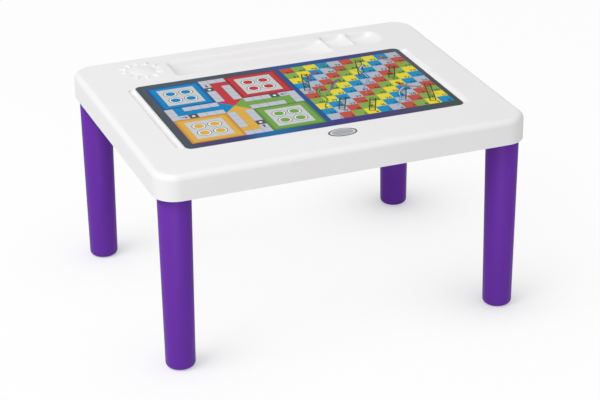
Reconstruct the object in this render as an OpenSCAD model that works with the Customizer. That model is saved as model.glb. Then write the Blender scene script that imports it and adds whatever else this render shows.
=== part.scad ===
// Toddler activity table: a ribbed moulded top with a lift-out game board, and four push-on legs.
// Millimetres. +X right, front towards -Y, +Z up. The origin is on the floor, below the middle.

/* [Table top] */
// Height of the top face above the floor
table_h = 400; // [340:5:520]
// Border in front of the game board
front_border = 103; // [90:1:140]
// Border behind the pencil tray
back_border = 50; // [42:1:70]
// Border to the left of the pencil tray, where the sun is
left_border = 188; // [170:1:240]
// Border to the right of the right dish
right_border = 94; // [86:1:160]
// Depth of the skirt that hangs round the edge
skirt_h = 50; // [46:1:60]
// Plan radius of the four corners
corner_r = 44; // [36:1:52]
// Radius that rolls the top face over into the skirt
edge_r = 12; // [8:1:16]
// Wall of the moulding
wall = 3; // [2.5:0.5:4]

/* [Game board] */
// Length of the lift-out board
board_w = 556; // [480:2:620]
// Depth of the lift-out board
board_d = 324; // [260:2:400]
// Thickness of the board
board_t = 3; // [2.5:0.5:4]
// Corner radius of the board
board_r = 13; // [8:1:20]
// Land between the board and the pencil tray
board_to_tray = 31; // [20:1:50]
// Thickness of the printed sheet on the board
sheet_t = 0.5; // [0.3:0.1:1]
// Edge of the board left free round the sheet
sheet_inset = 0.5; // [0:0.5:4]

/* [Finger grooves] */
// Radius of the round groove at each short end of the board
groove_r = 10; // [9:0.5:12]
// Height of the groove's axis above the top face
groove_lift = 3; // [1:0.5:4]
// Distance of the groove's axis outside the board's edge
groove_out = 6; // [4:0.5:7]
// Corner of the board to the end of the groove
groove_end = 8; // [4:1:60]

/* [Pencil tray] */
// Length of the tray, its two ramps included
tray_w = 329; // [240:1:400]
// Depth of the tray, front to back
tray_d = 72; // [50:1:90]
// Length of the curved ramp at each end of the tray
tray_ramp = 42; // [20:1:60]
// Depth of the tray's floor below the top face
tray_h = 15; // [10:1:16]

/* [Dishes] */
// Length of the left dish, left to right
dish_1_w = 50; // [44:1:60]
// Length of the right dish, left to right
dish_2_w = 59; // [48:1:70]
// Depth of each dish, front to back
dish_d = 66; // [56:1:76]
// Back edge of the table to the left dish
dish_1_back = 34; // [30:1:40]
// Back edge of the table to the right dish
dish_2_back = 40; // [30:1:46]
// Land between the tray and the left dish, and between the two dishes
dish_land = 5; // [4:0.5:12]
// Depth of a dish at its lowest line
dish_h = 14; // [9:1:16]
// Length of a dish's steep left side
dish_steep = 18; // [14:1:20]
// Plan radius of the right dish's round end
dish_round = 24; // [12:1:28]

/* [Hollows in the top] */
// Upright wall below the rim of a tray or dish
rim_drop = 3; // [2.5:0.5:5]
// Radius of the soft rim round each hollow
rim_r = 2; // [1:0.5:2.5]
// Plan radius of the corners of the hollows
hollow_r = 8; // [5:1:14]
// Radius where a hollow's long sides meet its floor
floor_r = 8; // [5:0.5:9]

/* [Moulded sun] */
// Land between the sun's rays and the tray
sun_land = 12; // [6:1:30]
// Back edge of the table to the middle of the sun
sun_back = 74; // [66:1:90]
// Radius of the low dome
sun_r = 27; // [18:1:30]
// Height of the dome above the top face
sun_h = 4; // [2:0.5:6]
// Number of rays
sun_rays = 12; // [6:1:16]
// Edge of the dome to the centre of a ray's thick end
ray_gap = 7; // [5:0.5:10]
// Length of a ray between the centres of its round ends
ray_len = 11; // [6:1:14]
// Radius of a ray's thick end
ray_r = 3.4; // [2.6:0.2:4]
// Radius of a ray's thin end
ray_tip_r = 2; // [1:0.2:2.4]

/* [Badge] */
// Length of the blank oval badge
badge_w = 56; // [40:1:70]
// Depth of the badge, front to back
badge_d = 34; // [20:1:40]
// Thickness of the badge
badge_t = 1.2; // [1:0.1:1.8]
// Width of the badge's raised rim
badge_rim = 2.2; // [1:0.2:4]
// Depth of the badge's field below its rim
badge_field = 0.3; // [0.1:0.1:0.5]
// Depth of the seat moulded for the badge
badge_seat = 0.7; // [0.4:0.1:0.9]
// Front edge of the table to the middle of the badge
badge_front = 69; // [56:1:76]
// Middle of the badge to the right of the middle of the table
badge_x = 12; // [-100:1:100]

/* [Legs] */
// Diameter of a leg at its top end
leg_top_d = 63.6; // [56:0.2:65]
// Diameter of a leg at its foot, before the rounding
leg_foot_d = 56; // [44:0.5:62]
// Wall of a leg
leg_wall = 3; // [2.5:0.5:4]
// Radius round the foot
foot_r = 9; // [5:0.5:14]
// Gap between a leg and the inside of the skirt, in the corner
leg_gap = 3.5; // [3.5:0.5:12]
// Radius of the dimple under the foot
dimple_r = 11; // [6:1:12]
// Depth of the dimple under the foot
dimple_h = 1; // [0.5:0.5:1.5]

/* [Leg sockets] */
// Depth of the leg's stop, a cross of ribs inside the socket, below the top face
stop_h = 6; // [5:0.5:10]
// Depth of a socket's collar below the top face
socket_h = 40; // [30:1:44]
// Wall of a collar and of the spigot inside it
socket_wall = 3; // [2:0.5:4]
// Radius of the crush ribs on a spigot
crush_r = 1.2; // [0.8:0.1:1.6]
// Number of crush ribs on a spigot
crush_ribs = 8; // [4:1:12]

/* [Stiffening ribs] */
// Distance between two ribs of the grid
rib_pitch = 70; // [50:5:140]
// Thickness of a rib
rib_t = 2; // [1.5:0.5:3]
// Depth of the ribs below the top face
rib_h = 25; // [20:1:32]

/* [Fits] */
// Gap between the board and its recess
board_fit = 0.4; // [0.2:0.1:1]
// Gap between a leg and its collar, and between its bore and the crush ribs
leg_fit = 0.35; // [0.3:0.05:0.8]
// Gap between the badge and its seat
badge_fit = 0.2; // [0.1:0.1:0.5]

/* [Hidden] */
$fn = 96;

// Overrun of a cutter past the face that it opens
cut = 1;
// How far a collar runs into the wall that carries it
root = 0.3;
// Points round an oval
oval_points = 72;
// Facets of the flat arcs of the ramps and of the dome
flat_arc_fn = 360;
// Facets of a crush rib
crush_fn = 24;
// Angle between the points of a rib's round end
rib_step = 15;

// The table is as long as its back row, and as deep as the board and the tray
dish_1_left = left_border + tray_w + dish_land;
dish_2_left = dish_1_left + dish_1_w + dish_land;
top_w = dish_2_left + dish_2_w + right_border;
top_d = front_border + board_d + board_to_tray + tray_d + back_border;

pocket_h = board_t + sheet_t;
board_y = -top_d / 2 + front_border + board_d / 2;
leg_len = table_h - stop_h;
// The gap between a leg and the skirt is measured on the diagonal of the corner
leg_inset = corner_r - (corner_r - wall - leg_gap - leg_top_d / 2) / sqrt(2);
leg_x = top_w / 2 - leg_inset;
leg_y = top_d / 2 - leg_inset;
leg_draft = atan((leg_top_d - leg_foot_d) / 2 / leg_len);
collar_bore_r = leg_top_d / 2 + leg_fit;
// The bore of a leg at the spigot's lower end, where it is narrowest
leg_bore_r = leg_top_d / 2 - (socket_h - stop_h) * tan(leg_draft) - leg_wall / cos(leg_draft);
crest_r = leg_bore_r - leg_fit;
spigot_r = crest_r - crush_r / 2;
ray_start = sun_r + ray_gap;
sun_left = left_border - sun_land - ray_start - ray_len - ray_tip_r;

// Half section of a drafted body: round at y = 0, open at y = -height, where it is reach wide.
// The same section drawn with an inset gives the inner face of its wall.
module drafted_section(reach, height, round_r, draft, inset = 0, overrun = 0) {
    centre_x = reach - (round_r + (height - round_r) * sin(draft)) / cos(draft);
    arc_r = round_r - inset;
    stock_r = arc_r + cut;
    side_x = reach - inset / cos(draft);
    difference() {
        polygon([
            [0, -inset],
            [side_x - (height - inset) * tan(draft), -inset],
            [side_x + overrun * tan(draft), -height - overrun],
            [0, -height - overrun]
        ]);
        translate([centre_x, -round_r])
            difference() {
                polygon([
                    [0, 0],
                    [stock_r * cos(draft), stock_r * sin(draft)],
                    [stock_r, stock_r],
                    [0, stock_r]
                ]);
                circle(arc_r);
            }
    }
}

// Carries a section round a rectangle w by d whose corners have radius r.
// The section's x is measured from the centre of the corner.
module round_sweep(w, d, r) {
    for (sx = [0, 1])
        for (sy = [0, 1])
            mirror([sx, 0, 0])
                mirror([0, sy, 0])
                    translate([w / 2 - r, d / 2 - r, 0])
                        rotate_extrude(angle = 90)
                            children();
    for (sy = [0, 1])
        mirror([0, sy, 0])
            translate([r - w / 2, d / 2 - r, 0])
                rotate([90, 0, 90])
                    linear_extrude(w - 2 * r)
                        children();
    for (sx = [0, 1])
        mirror([sx, 0, 0])
            translate([w / 2 - r, d / 2 - r, 0])
                rotate([90, 0, 0])
                    linear_extrude(d - 2 * r)
                        children();
}

// Rounded rectangle with its front left corner at the origin and its own radius at each end
module round_plan(w, d, left_r, right_r) {
    translate([left_r, 0])
        square([w - left_r - right_r, d]);
    translate([0, left_r])
        square([left_r, d - 2 * left_r]);
    translate([w - right_r, right_r])
        square([right_r, d - 2 * right_r]);
    for (y = [left_r, d - left_r])
        translate([left_r, y])
            circle(left_r);
    for (y = [right_r, d - right_r])
        translate([w - right_r, y])
            circle(right_r);
}

module round_slab(w, d, r, h) {
    translate([-w / 2, -d / 2, 0])
        linear_extrude(h)
            round_plan(w, d, r, r);
}

// Half section of the top as a solid block, inset from its outer face
module block_section(inset = 0, overrun = 0) {
    r = edge_r - inset;
    difference() {
        translate([0, -skirt_h - overrun])
            square([corner_r - inset, skirt_h + overrun - inset]);
        translate([corner_r - edge_r, -edge_r])
            difference() {
                square(r + cut);
                circle(r);
            }
    }
}

// The skirt and the rolled edge, as one wall
module skirt_section() {
    difference() {
        block_section();
        block_section(wall, cut);
    }
}

// The thin top with its skirt, hanging from z = 0
module top_shell() {
    flat_w = top_w - 2 * corner_r;
    flat_d = top_d - 2 * corner_r;
    round_sweep(top_w, top_d, corner_r)
        skirt_section();
    translate([-flat_w / 2, -flat_d / 2, -wall])
        cube([flat_w, flat_d, wall]);
}

// A hollow with a curved ramp at each end. Its front left corner is at the origin, and grow
// draws the outside of the wall that lines it.
module scoop(w, d, h, left_ramp, right_ramp, right_r, grow = 0) {
    rise = h - rim_drop;
    head = grow > 0 ? -wall / 2 : cut;
    side = grow + 2 * cut;
    left_arc = (left_ramp * left_ramp + rise * rise) / (2 * rise);
    right_arc = (right_ramp * right_ramp + rise * rise) / (2 * rise);
    intersection() {
        translate([0, d + side, 0])
            rotate([90, 0, 0])
                linear_extrude(d + 2 * side)
                    ramp_section(w, h, left_ramp, right_ramp, left_arc, right_arc, grow, head);
        translate([-side, 0, 0])
            rotate([90, 0, 90])
                linear_extrude(w + 2 * side)
                    side_section(d, h, grow, head);
        translate([-grow, -grow, -h - grow - cut])
            linear_extrude(h + grow + 2 * cut + head)
                round_plan(w + 2 * grow, d + 2 * grow, hollow_r + grow, right_r + grow);
    }
}

// Long section of a hollow: a flat floor between two arcs that meet it without a corner.
// It runs past the ends of the hollow, which its plan cuts off.
module ramp_section(w, h, left_ramp, right_ramp, left_arc, right_arc, grow, head) {
    translate([left_ramp, -h - grow])
        square([w - left_ramp - right_ramp, h + grow + head]);
    intersection() {
        translate([left_ramp, left_arc - h])
            circle(left_arc + grow, $fn = flat_arc_fn);
        translate([-grow - cut, -h - grow])
            square([left_ramp + grow + cut, h + grow + head]);
    }
    intersection() {
        translate([w - right_ramp, right_arc - h])
            circle(right_arc + grow, $fn = flat_arc_fn);
        translate([w - right_ramp, -h - grow])
            square([right_ramp + grow + cut, h + grow + head]);
    }
}

// Cross section of a hollow: a floor with rounded sides, open above them
module side_section(d, h, grow, head) {
    r = floor_r + grow;
    side = grow + cut;
    translate([-side, floor_r - h])
        square([d + 2 * side, h - floor_r + head]);
    translate([floor_r, -h - grow])
        square([d - 2 * floor_r, r]);
    for (y = [floor_r, d - floor_r])
        translate([y, floor_r - h])
            circle(r);
}

// Section of the stock that a soft rim takes away, outwards from the wall at x
module rim_section(x, r) {
    difference() {
        translate([x - cut, -r])
            square([r + cut, r + cut]);
        translate([x + r, -r])
            circle(r);
    }
}

// Cuts the soft rim of a hollow w by d, with its own corner radius at each end
module rim_cut(w, d, left_r, right_r, r) {
    corners = [
        [left_r, d - left_r, left_r, 90],
        [left_r, left_r, left_r, 180],
        [w - right_r, right_r, right_r, 270],
        [w - right_r, d - right_r, right_r, 0]
    ];
    for (c = corners)
        translate([c[0], c[1], 0])
            rotate_extrude(angle = 90, start = c[3])
                rim_section(c[2], r);
    translate([left_r, d, 0])
        rotate([90, 0, 90])
            linear_extrude(w - left_r - right_r)
                rim_section(0, r);
    translate([w - right_r, 0, 0])
        rotate([90, 0, 270])
            linear_extrude(w - left_r - right_r)
                rim_section(0, r);
    translate([0, left_r, 0])
        rotate([90, 0, 180])
            linear_extrude(d - 2 * left_r)
                rim_section(0, r);
    translate([w, d - right_r, 0])
        rotate([90, 0, 0])
            linear_extrude(d - 2 * right_r)
                rim_section(0, r);
}

// Places a hollow by the distances of its back left corner from the table's edges
module at_back_left(left, back, d) {
    translate([left - top_w / 2, top_d / 2 - back - d, 0])
        children();
}

module hollows(grow = 0) {
    dish_2_ramp = dish_2_w - dish_steep - hollow_r / 2;
    dish_1_ramp = dish_1_w - dish_steep - hollow_r / 2;
    at_back_left(left_border, back_border, tray_d)
        scoop(tray_w, tray_d, tray_h, tray_ramp, tray_ramp, hollow_r, grow);
    at_back_left(dish_1_left, dish_1_back, dish_d)
        scoop(dish_1_w, dish_d, dish_h, dish_steep, dish_1_ramp, hollow_r, grow);
    at_back_left(dish_2_left, dish_2_back, dish_d)
        scoop(dish_2_w, dish_d, dish_h, dish_steep, dish_2_ramp, dish_round, grow);
}

module hollow_rims() {
    at_back_left(left_border, back_border, tray_d)
        rim_cut(tray_w, tray_d, hollow_r, hollow_r, rim_r);
    at_back_left(dish_1_left, dish_1_back, dish_d)
        rim_cut(dish_1_w, dish_d, hollow_r, hollow_r, rim_r);
    at_back_left(dish_2_left, dish_2_back, dish_d)
        rim_cut(dish_2_w, dish_d, hollow_r, dish_round, rim_r);
}

// The recess for the board, or with grow the outside of the wall that lines it
module board_recess(grow = 0) {
    head = grow > 0 ? -wall / 2 : cut;
    margin = 2 * (board_fit + grow);
    translate([0, board_y, -pocket_h - grow])
        round_slab(board_w + margin, board_d + margin, board_r + board_fit + grow,
            pocket_h + grow + head);
}

// Half section of a finger groove, up to head
module groove_section(grow, head) {
    intersection() {
        translate([0, groove_lift])
            circle(groove_r + grow);
        translate([0, -groove_r - grow])
            square([groove_r + grow, groove_r + grow + head]);
    }
}

// The round groove at each short end of the board, where fingers reach under it
module finger_grooves(grow = 0) {
    head = grow > 0 ? -wall / 2 : cut;
    half_open = sqrt(groove_r * groove_r - groove_lift * groove_lift);
    run = board_d - 2 * (groove_end + half_open);
    for (side = [-1, 1])
        translate([side * (board_w / 2 + groove_out), board_y, 0])
            for (turn = [0, 180])
                rotate(turn) {
                    translate([0, run / 2, 0])
                        rotate([90, 0, 0])
                            linear_extrude(run)
                                groove_section(grow, head);
                    translate([0, run / 2, 0])
                        rotate_extrude(angle = 180)
                            groove_section(grow, head);
                }
}

module oval(w, d) {
    polygon([
        for (i = [0 : oval_points - 1])
            [w / 2 * cos(360 * i / oval_points), d / 2 * sin(360 * i / oval_points)]
    ]);
}

module at_badge(z) {
    translate([badge_x, badge_front - top_d / 2, z])
        children();
}

// A low dome and a ring of tapered rays, raised on the top face
module moulded_sun() {
    dome_r = (sun_r * sun_r + sun_h * sun_h) / (2 * sun_h);
    translate([sun_left - top_w / 2, top_d / 2 - sun_back, 0]) {
        intersection() {
            translate([0, 0, sun_h - dome_r])
                sphere(dome_r, $fn = flat_arc_fn);
            translate([0, 0, -wall / 2])
                cylinder(r = sun_r + wall, h = sun_h + wall);
        }
        for (i = [0 : sun_rays - 1])
            rotate(360 * i / sun_rays)
                intersection() {
                    translate([ray_start, 0, 0]) {
                        sphere(ray_r);
                        rotate([0, 90, 0])
                            cylinder(r1 = ray_r, r2 = ray_tip_r, h = ray_len);
                        translate([ray_len, 0, 0])
                            sphere(ray_tip_r);
                    }
                    translate([0, -ray_r, -wall / 2])
                        cube([ray_start + ray_len + ray_r, 2 * ray_r, ray_r + wall]);
                }
    }
}

// Places a child on the axis of each leg
module at_legs() {
    for (sx = [-1, 1])
        for (sy = [-1, 1])
            translate([sx * leg_x, sy * leg_y, 0])
                children();
}

// Side view of a rib that spans the inside of the shell and ends inside its wall
module rib_outline(span) {
    mid_r = edge_r - wall / 2;
    end_x = span / 2 - edge_r;
    right_end = [
        for (a = [0 : rib_step : 90])
            [end_x + mid_r * cos(a), -edge_r + mid_r * sin(a)]
    ];
    left_end = [
        for (a = [90 : rib_step : 180])
            [-end_x + mid_r * cos(a), -edge_r + mid_r * sin(a)]
    ];
    polygon(concat([[end_x + mid_r, -rib_h]], right_end, left_end, [[-end_x - mid_r, -rib_h]]));
}

// The grid of ribs, with a rib in line with each row of legs
module stiffening_ribs() {
    across = floor((leg_x - collar_bore_r) / rib_pitch);
    along = floor((leg_y - collar_bore_r) / rib_pitch);
    xs = concat([-leg_x, leg_x], [for (i = [-across : across]) i * rib_pitch]);
    ys = concat([-leg_y, leg_y], [for (i = [-along : along]) i * rib_pitch]);
    for (x = xs)
        translate([x - rib_t / 2, 0, 0])
            rotate([90, 0, 90])
                linear_extrude(rib_t)
                    rib_outline(top_d);
    for (y = ys)
        translate([0, y + rib_t / 2, 0])
            rotate([90, 0, 0])
                linear_extrude(rib_t)
                    rib_outline(top_w);
}

// The collars round the legs, kept inside the rolled edge of the corners
module collars() {
    depth = wall - root;
    inset = edge_r - sqrt(edge_r * edge_r - pow(edge_r - depth, 2)) + root;
    intersection() {
        at_legs()
            translate([0, 0, -socket_h])
                cylinder(r = collar_bore_r + socket_wall, h = socket_h - depth);
        translate([0, 0, -skirt_h])
            round_slab(top_w - 2 * inset, top_d - 2 * inset, corner_r - inset, skirt_h);
    }
}

// The tube that goes up inside a leg, with ribs that grip the leg's bore
module spigot() {
    translate([0, 0, -socket_h])
        difference() {
            union() {
                cylinder(r = spigot_r, h = socket_h - wall / 2);
                for (i = [0 : crush_ribs - 1])
                    rotate(360 * (i + 0.5) / crush_ribs)
                        translate([crest_r - crush_r, 0, 0])
                            cylinder(r = crush_r, h = socket_h - wall / 2, $fn = crush_fn);
            }
            translate([0, 0, -cut])
                cylinder(r = spigot_r - socket_wall, h = socket_h - wall + cut);
        }
}

// What is moulded on below the top face: linings of the hollows, ribs and collars
module underside() {
    hollows(wall);
    board_recess(wall);
    finger_grooves(wall);
    stiffening_ribs();
    collars();
}

module table_top() {
    color("white")
        translate([0, 0, table_h]) {
            difference() {
                union() {
                    top_shell();
                    underside();
                    moulded_sun();
                }
                hollows();
                hollow_rims();
                board_recess();
                finger_grooves();
                at_badge(-badge_seat)
                    linear_extrude(badge_seat + cut)
                        oval(badge_w + 2 * badge_fit, badge_d + 2 * badge_fit);
                at_legs()
                    translate([0, 0, -skirt_h])
                        cylinder(r = collar_bore_r, h = skirt_h - stop_h);
            }
            at_legs()
                spigot();
        }
}

// A leg is one deep cup: closed at the foot, open at the top
module leg(side_x, side_y) {
    color("rebeccapurple")
        translate([side_x * leg_x, side_y * leg_y, 0])
            difference() {
                rotate_extrude()
                    mirror([0, 1])
                        difference() {
                            drafted_section(leg_top_d / 2, leg_len, foot_r, leg_draft);
                            drafted_section(leg_top_d / 2, leg_len, foot_r, leg_draft, leg_wall, cut);
                        }
                translate([0, 0, -cut])
                    cylinder(r = dimple_r, h = dimple_h + cut);
            }
}

module game_board() {
    color("whitesmoke")
        translate([0, board_y, table_h - pocket_h])
            round_slab(board_w, board_d, board_r, board_t);
}

module game_sheet() {
    color("royalblue")
        translate([0, board_y, table_h - sheet_t])
            round_slab(board_w - 2 * sheet_inset, board_d - 2 * sheet_inset, board_r - sheet_inset, sheet_t);
}

module badge() {
    color("silver")
        at_badge(table_h - badge_seat)
            difference() {
                linear_extrude(badge_t)
                    oval(badge_w, badge_d);
                translate([0, 0, badge_t - badge_field])
                    linear_extrude(badge_field + cut)
                        oval(badge_w - 2 * badge_rim, badge_d - 2 * badge_rim);
            }
}

table_top();
leg(-1, -1);  // leg_front_left
leg(1, -1);  // leg_front_right
leg(-1, 1);  // leg_back_left
leg(1, 1);  // leg_back_right
game_board();
game_sheet();
badge();
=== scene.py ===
# %% [markdown]
# # A toddler's activity table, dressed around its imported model
# The table is a white ribbed moulding on four purple push-on legs. A flat board lies flush in the
# top and carries two printed games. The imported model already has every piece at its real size, so
# this lesson adds what a construction model leaves out: soft edges, finishes and the print.

import math

import bmesh
import bpy
from mathutils import Matrix, Vector, bvhtree, geometry


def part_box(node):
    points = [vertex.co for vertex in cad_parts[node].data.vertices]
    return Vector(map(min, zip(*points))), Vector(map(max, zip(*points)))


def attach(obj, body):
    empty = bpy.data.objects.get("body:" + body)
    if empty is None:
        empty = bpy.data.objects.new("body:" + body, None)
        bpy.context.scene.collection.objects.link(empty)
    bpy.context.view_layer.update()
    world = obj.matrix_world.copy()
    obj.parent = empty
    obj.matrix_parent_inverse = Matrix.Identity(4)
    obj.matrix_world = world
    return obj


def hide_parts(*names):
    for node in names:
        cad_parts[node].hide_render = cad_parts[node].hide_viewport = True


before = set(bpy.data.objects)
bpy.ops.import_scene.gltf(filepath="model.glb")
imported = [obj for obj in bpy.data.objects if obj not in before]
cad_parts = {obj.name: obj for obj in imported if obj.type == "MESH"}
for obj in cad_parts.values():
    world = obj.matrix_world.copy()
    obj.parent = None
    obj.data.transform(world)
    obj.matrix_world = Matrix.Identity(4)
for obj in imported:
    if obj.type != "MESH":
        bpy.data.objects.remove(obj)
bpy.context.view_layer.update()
leg_nodes = sorted(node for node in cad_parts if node.startswith("leg_"))
MM = 0.001
print("nodes:", sorted(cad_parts))

# %% [markdown]
# ## Camera
# The table is seen from the front left, a little above, through a long lens from four metres away,
# so its edges stay nearly parallel. Blender's camera looks down its own -Z axis, so the view is
# written as a turn to the right, a look downwards and a small roll, and the matrix follows.

# %% Put an object in the scene
def add_object(name, data):
    """A new object in the scene, of a mesh, a curve, a camera or a light."""
    thing = bpy.data.objects.new(name, data)
    bpy.context.scene.collection.objects.link(thing)
    return thing


# %% Place the camera
camera_at = Vector((-1291.3, -3367.2, 1861.9)) * MM
camera_turn = math.radians(21.16)
camera_dip = math.radians(25.15)
camera_roll = math.radians(-0.634)
camera_lens = 121.17

camera = add_object("camera", bpy.data.cameras.new("camera"))
camera.data.lens = camera_lens
camera.data.sensor_width = 36.0
camera.data.sensor_fit = "HORIZONTAL"
camera.data.clip_end = 60.0
camera.matrix_world = (
    Matrix.Translation(camera_at)
    @ Matrix.Rotation(-camera_turn, 4, "Z")
    @ Matrix.Rotation(math.pi / 2 - camera_dip, 4, "X")
    @ Matrix.Rotation(camera_roll, 4, "Z")
)
bpy.context.scene.camera = camera
print("camera stands", round(camera_at.length, 2), "m from the foot of the table")

# %% [markdown]
# ## Node trees written as Python
# A finish is a sum of small patterns, and wiring Math nodes by hand hides the sum. So one class
# adds any node of a tree, and another wraps a socket, so that its operators add the Math nodes.
# Colours must not pass through a Math node, which would turn them grey: they have their own mix.

# %% A socket that can be used in sums
class Wire:
    """One output socket of a node tree."""

    def __init__(self, tree, socket):
        self.tree = tree
        self.socket = socket

    def math(self, operation, first, second):
        """A Math node on two values, either of which may be a wire."""
        return self.tree.node("ShaderNodeMath", {"operation": operation}, {0: first, 1: second})

    def __add__(self, other):
        return self.math("ADD", self, other)

    def __radd__(self, other):
        return self.math("ADD", other, self)

    def __sub__(self, other):
        return self.math("SUBTRACT", self, other)

    def __rsub__(self, other):
        return self.math("SUBTRACT", other, self)

    def __mul__(self, other):
        return self.math("MULTIPLY", self, other)

    def __rmul__(self, other):
        return self.math("MULTIPLY", other, self)

    def __gt__(self, other):
        return self.math("GREATER_THAN", self, other)

    def either(self, other):
        """The larger of two values, which is OR for masks."""
        return self.math("MAXIMUM", self, other)

    def output(self, name):
        """Another output of the same node."""
        return Wire(self.tree, self.socket.node.outputs[name])


# %% A tree that nodes are added to
class Tree:
    """The nodes of a material, of the world or of a Geometry Nodes group."""

    def __init__(self, nodes_of):
        self.tree = nodes_of
        self.tree.nodes.clear()

    def node(self, kind, settings=None, inputs=None, output=0, stops=()):
        """Adds a node: its settings first, then the values or wires of its sockets."""
        new = self.tree.nodes.new(kind)
        for key, value in (settings or {}).items():
            setattr(new, key, value)
        for index, (position, colour) in enumerate(stops):
            bar = new.color_ramp.elements
            stop = bar[index] if index < 2 else bar.new(position)
            stop.position = position
            stop.color = colour
        for key, value in (inputs or {}).items():
            for wire in value if isinstance(value, list) else [value]:
                self.feed(new.inputs[key], wire)
        return Wire(self, new.outputs[output]) if len(new.outputs) else None

    def feed(self, socket, value):
        """Links a wire to a socket, or sets the socket's own value."""
        if isinstance(value, Wire):
            self.tree.links.new(value.socket, socket)
        else:
            socket.default_value = value


# %% [markdown]
# ## Recipes for finishes
# Every piece of the table is plastic, so all its finishes end in the same surface shader. What
# varies over the surface is made from noise on the piece's own coordinates, in metres, so a spot
# keeps its real size on every piece. What doesn't vary is set on the shader's own socket.

# %% The material recipe
class Recipe(Tree):
    """A material that is built up from nodes, values and wires."""

    def __init__(self, name):
        self.material = bpy.data.materials.new(name)
        self.material.use_nodes = True
        super().__init__(self.material.node_tree)
        self.place = self.node("ShaderNodeTexCoord", output="Object")

    def noise(self, size, detail=2.0, stretch=(1.0, 1.0, 1.0)):
        """Noise from 0 to 1 whose spots are about size metres across."""
        where = self.node("ShaderNodeMapping", {}, {"Vector": self.place, "Scale": stretch})
        inputs = {"Vector": where, "Scale": 1 / size, "Detail": detail}
        return self.node("ShaderNodeTexNoise", {}, inputs, "Fac")

    def mix(self, share, first, second, blend="MIX"):
        """Two colours mixed by a share from 0 to 1."""
        settings = {"data_type": "RGBA", "blend_type": blend}
        return self.node("ShaderNodeMix", settings, {0: share, 6: first, 7: second}, 2)

    def math(self, operation, value):
        """A Math node on one value."""
        return self.node("ShaderNodeMath", {"operation": operation}, {0: value})

    def relief(self, height, depth):
        """A normal bumped by a height from 0 to 1 that stands for depth metres."""
        inputs = {"Height": height, "Distance": depth, "Strength": 1.0}
        return self.node("ShaderNodeBump", {}, inputs, "Normal")

    def plastic(self, **inputs):
        """Ends the recipe in a plastic surface and returns the material."""
        named = {key.replace("_", " "): value for key, value in inputs.items()}
        return self.close(self.node("ShaderNodeBsdfPrincipled", {}, named))

    def close(self, surface):
        """Ends the recipe in any surface and returns the material."""
        self.node("ShaderNodeOutputMaterial", {}, {"Surface": surface})
        return self.material


def paint(red, green, blue, alpha=1.0):
    """A colour as it is read off a swatch, 0 to 255, in the linear light that shaders use."""

    def linear(level):
        share = level / 255
        return share / 12.92 if share <= 0.04045 else ((share + 0.055) / 1.055) ** 2.4

    return (linear(red), linear(green), linear(blue), alpha)


def seen_directly(tree):
    """1 for rays that come from the camera, a mirror or glass, and 0 for light on its way."""
    path = tree.node("ShaderNodeLightPath", output="Is Camera Ray")
    return path.either(path.output("Is Glossy Ray")).either(path.output("Is Transmission Ray"))


# %% [markdown]
# ## Studio
# The table stands on white paper under soft light. The paper is shown brighter than it is lit, by
# mixing it with plain white for the rays that see it directly. Near each foot less white is mixed
# in, so the paper is shown darker round each foot: painted shade, on top of the rendered contact
# shadows, while the background stays white. The lamps and the sky stay at a level at which nothing
# white is clipped.

# %% Floor and sky
floor_half = 9.0
sky_level = 0.48
open_glow = 0.92
foot_glow = 0.2
foot_reach = 0.065
plain_white = (1, 1, 1, 1)

signs = [(-1, -1), (1, -1), (1, 1), (-1, 1)]
floor_corners = [(x * floor_half, y * floor_half, 0.0) for x, y in signs]
floor_mesh = bpy.data.meshes.new("studio_floor")
floor_mesh.from_pydata(floor_corners, [], [(0, 1, 2, 3)])
floor = add_object("studio_floor", floor_mesh)

paper = Recipe("studio_paper")
paper_seen = seen_directly(paper)
paper_grey = paper.mix(paper.noise(0.8), paint(226, 226, 228), paint(230, 230, 230))
paper_tint = paper.mix(paper_seen, paper_grey, paint(252, 251, 255))
lit_paper = paper.node("ShaderNodeBsdfDiffuse", {}, {"Color": paper_tint})
white_paper = paper.node("ShaderNodeEmission", {}, {"Color": plain_white, "Strength": 1.0})
paper_glow = open_glow
# Painted shade: near each foot less white is mixed in, so the paper is shown darker round the feet.
for node in leg_nodes:
    low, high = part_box(node)
    foot = ((low.x + high.x) / 2, (low.y + high.y) / 2, 0.0)
    away = paper.node(
        "ShaderNodeVectorMath", {"operation": "DISTANCE"}, {0: paper.place, 1: foot}, "Value"
    )
    nearness = paper.math("EXPONENT", away * (-1 / foot_reach))
    paper_glow = paper_glow - (open_glow - foot_glow) * nearness
white_share = paper_seen * paper_glow
paper_mix = paper.node("ShaderNodeMixShader", {}, {0: white_share, 1: lit_paper, 2: white_paper})
floor.data.materials.append(paper.close(paper_mix))

world = bpy.data.worlds.new("studio_sky")
bpy.context.scene.world = world
world.use_nodes = True
sky = Tree(world.node_tree)
soft_sky = sky.node("ShaderNodeBackground", {}, {"Color": plain_white, "Strength": sky_level})
white_sky = sky.node("ShaderNodeBackground", {}, {"Color": plain_white, "Strength": 1.0})
sky_mix = sky.node("ShaderNodeMixShader", {}, {0: seen_directly(sky), 1: soft_sky, 2: white_sky})
sky.node("ShaderNodeOutputWorld", {}, {"Surface": sky_mix})
bpy.context.scene.view_settings.view_transform = "Standard"

# %% Two large soft lamps
# The left side is lit most and the right side not at all, so the main lamp hangs high up at the
# left, a little in front. A weaker one low in front reaches under the top, to the legs at the back.
# The power of each is worked out from the light that it should add on a surface that faces it.
lamp_distance = 6.0
lamps = {
    "main_lamp": {"towards": (-0.53, -0.12, 0.84), "level": 0.5, "size": 3.0},
    "front_lamp": {"towards": (-0.33, -0.93, 0.18), "level": 0.28, "size": 4.0},
}
for name, facts in lamps.items():
    towards = Vector(facts["towards"]).normalized()
    lamp = add_object(name, bpy.data.lights.new(name, "AREA"))
    lamp.data.shape = "SQUARE"
    lamp.data.size = facts["size"]
    lamp.data.energy = facts["level"] * (math.pi * lamp_distance) ** 2
    lamp.location = towards * lamp_distance
    lamp.rotation_euler = towards.to_track_quat("Z", "Y").to_euler()
    print(name, round(lamp.data.energy), "W")

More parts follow.
